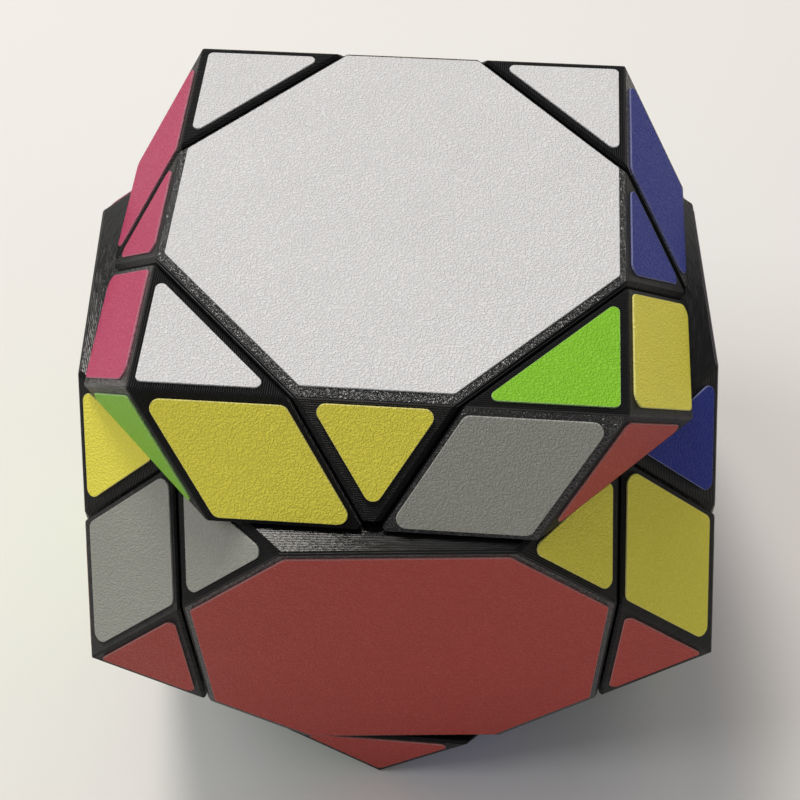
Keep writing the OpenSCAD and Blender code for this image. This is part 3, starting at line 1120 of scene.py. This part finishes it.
@dataclass
class Films:
    """Every film on the puzzle, one object for each shade on each layer."""

    pieces: list[Piece]
    layout: FilmLayout

    def build(self) -> int:
        """Lays, dresses and fastens all the films.

        Returns:
            How many single films were laid.
        """
        finishes = {shade: VinylFilm(shade).material() for shade in Shade}
        laid = 0
        for layer in Layer:
            sorted_places: dict[Shade, list[tuple[int, FilmPlace]]] = {}
            for piece in self.pieces:
                if piece.layer is layer:
                    for place in piece.faces():
                        laid += 1
                        sorted_places.setdefault(place.shade, []).append((laid, place))
            for shade, places in sorted_places.items():
                films = self.layout.lay(layer, shade, places, finishes[shade])
                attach(films, layer.value)
                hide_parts(f"{layer.short}_{shade.word}_stickers")
                LOG.info("%s: %d films", films.name, len(places))
        self.layout.cutter.clear()
        return laid


# ---- Printed pieces and hardware ----


def dress(node: str, material: bpy.types.Material) -> None:
    """Gives a node of the frame its material.

    Args:
        node: The node's name.
        material: The finish for all its faces.
    """
    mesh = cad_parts[node].data
    mesh.materials.clear()
    mesh.materials.append(material)
    LOG.info("%s: %s", node, material.name)


@dataclass
class PrintedPieces:
    """The printed bodies, caps and core, which keep the frame's exact shapes."""

    pieces: list[Piece]
    upright: tuple[str, ...] = ("core", "top_centre_cap", "bottom_centre_cap", "side_centre_caps")

    def build(self) -> None:
        """Dresses each piece in plastic whose layers run as it was printed."""
        for piece in self.pieces:
            finish = PrintedPlastic(f"black_pla_{piece.node}", piece.bed_normal())
            dress(piece.node, finish.material())
        plain = PrintedPlastic("black_pla_upright", Vector((0, 0, 1))).material()
        for node in self.upright:
            dress(node, plain)


@dataclass
class Hardware:
    """Screws, springs and washers inside the centres."""

    nodes: tuple[str, ...] = ("centre_screws", "tension_springs", "spring_washers")

    def build(self) -> None:
        """Dresses the hardware in plated steel."""
        steel = ZincSteel().material()
        for node in self.nodes:
            dress(node, steel)


# ---- Studio ----


@dataclass(frozen=True)
class Softbox:
    """One rectangular light: its place and sides in metres, its watts and its sRGB tint."""

    name: str
    place: tuple[float, float, float]
    size: tuple[float, float]
    power: float
    tint: str

    def hang(self) -> None:
        """Hangs the light and turns it to face the puzzle."""
        light = bpy.data.lights.new(self.name, "AREA")
        light.shape = "RECTANGLE"
        light.size, light.size_y = self.size
        light.energy = self.power
        light.color = linear(self.tint)[:3]
        lamp = bpy.data.objects.new(self.name, light)
        lamp.location = self.place
        aim = SIZES.centre - Vector(self.place)
        lamp.rotation_euler = aim.to_track_quat("-Z", "Y").to_euler()
        bpy.context.scene.collection.objects.link(lamp)


@dataclass(frozen=True)
class Studio:
    """A pale table, soft light from above, from behind and from the left, and the camera."""

    softboxes: tuple[Softbox, ...] = (
        Softbox("ceiling_lamp", (-0.27, 0.58, 1.2), (0.3, 0.5), 8.2, "#FFFAF3"),
        Softbox("far_wall", (0.0, 2.3, 1.85), (3.2, 1.1), 14.5, "#FFFCF8"),
        Softbox("window", (-0.95, 0.05, 1.15), (0.9, 0.9), 7.2, "#F7F9FF"),
    )
    room: str = "#F4F4F3"
    room_strength: float = 0.265
    table_reach: float = 3.0
    # The table lies a hair under the lowest film, so that the two never share a plane.
    table_drop: float = 0.02 * MM
    # The lens and the sensor's width in millimetres.
    lens: float = 66.9
    sensor: float = 36.0
    near: float = 0.01
    # The camera's place in half heights from the puzzle's centre, and its three directions.
    eye: Vector = Vector((0.05922, -3.10594, 4.38515))
    right: Vector = Vector((0.99988, -0.00207, -0.01518))
    down: Vector = Vector((-0.01048, -0.81518, -0.57911))
    ahead: Vector = Vector((-0.01117, 0.57920, -0.81511))

    def build(self) -> None:
        """Sets up floor, world, lights and camera."""
        self.floor()
        self.world()
        for softbox in self.softboxes:
            softbox.hang()
        self.camera()
        # Colours are shown as they are, with no film curve over them.
        bpy.context.scene.view_settings.view_transform = "Standard"

    def floor(self) -> None:
        """Lays the table's surface."""
        mesh = bpy.data.meshes.new("table")
        signs = ((-1, -1), (1, -1), (1, 1), (-1, 1))
        corners = [(x * self.table_reach, y * self.table_reach, -self.table_drop) for x, y in signs]
        mesh.from_pydata(corners, [], [(0, 1, 2, 3)])
        mesh.materials.append(TablePaper().material())
        table = bpy.data.objects.new("table", mesh)
        bpy.context.scene.collection.objects.link(table)

    def world(self) -> None:
        """Sets an even, nearly neutral light from all round."""
        world = bpy.data.worlds.new("room")
        world.use_nodes = True
        lit = {"Color": linear(self.room), "Strength": self.room_strength}
        wire(world.node_tree, world.node_tree.nodes["Background"], lit)
        bpy.context.scene.world = world

    def camera(self) -> None:
        """Places the camera over the front of the puzzle."""
        data = bpy.data.cameras.new("camera")
        data.lens = self.lens
        data.sensor_width = self.sensor
        data.clip_start = self.near
        eye = bpy.data.objects.new("camera", data)
        place = self.eye * SIZES.half_height + SIZES.centre
        turn = Matrix((self.right, -self.down, -self.ahead)).transposed()
        eye.matrix_world = Matrix.Translation(place) @ turn.to_4x4()
        bpy.context.scene.collection.objects.link(eye)
        bpy.context.scene.camera = eye


def main() -> None:
    """Builds the puzzle in order and reports each part."""
    logging.basicConfig(level=logging.INFO, format="%(name)s: %(message)s")
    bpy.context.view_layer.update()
    pieces = piece_list()
    PrintedPieces(pieces).build()
    Hardware().build()
    laid = Films(pieces, FilmLayout(FilmCutter())).build()
    LOG.info("%d films in all", laid)
    Studio().build()


if __name__ == "__main__":
    main()
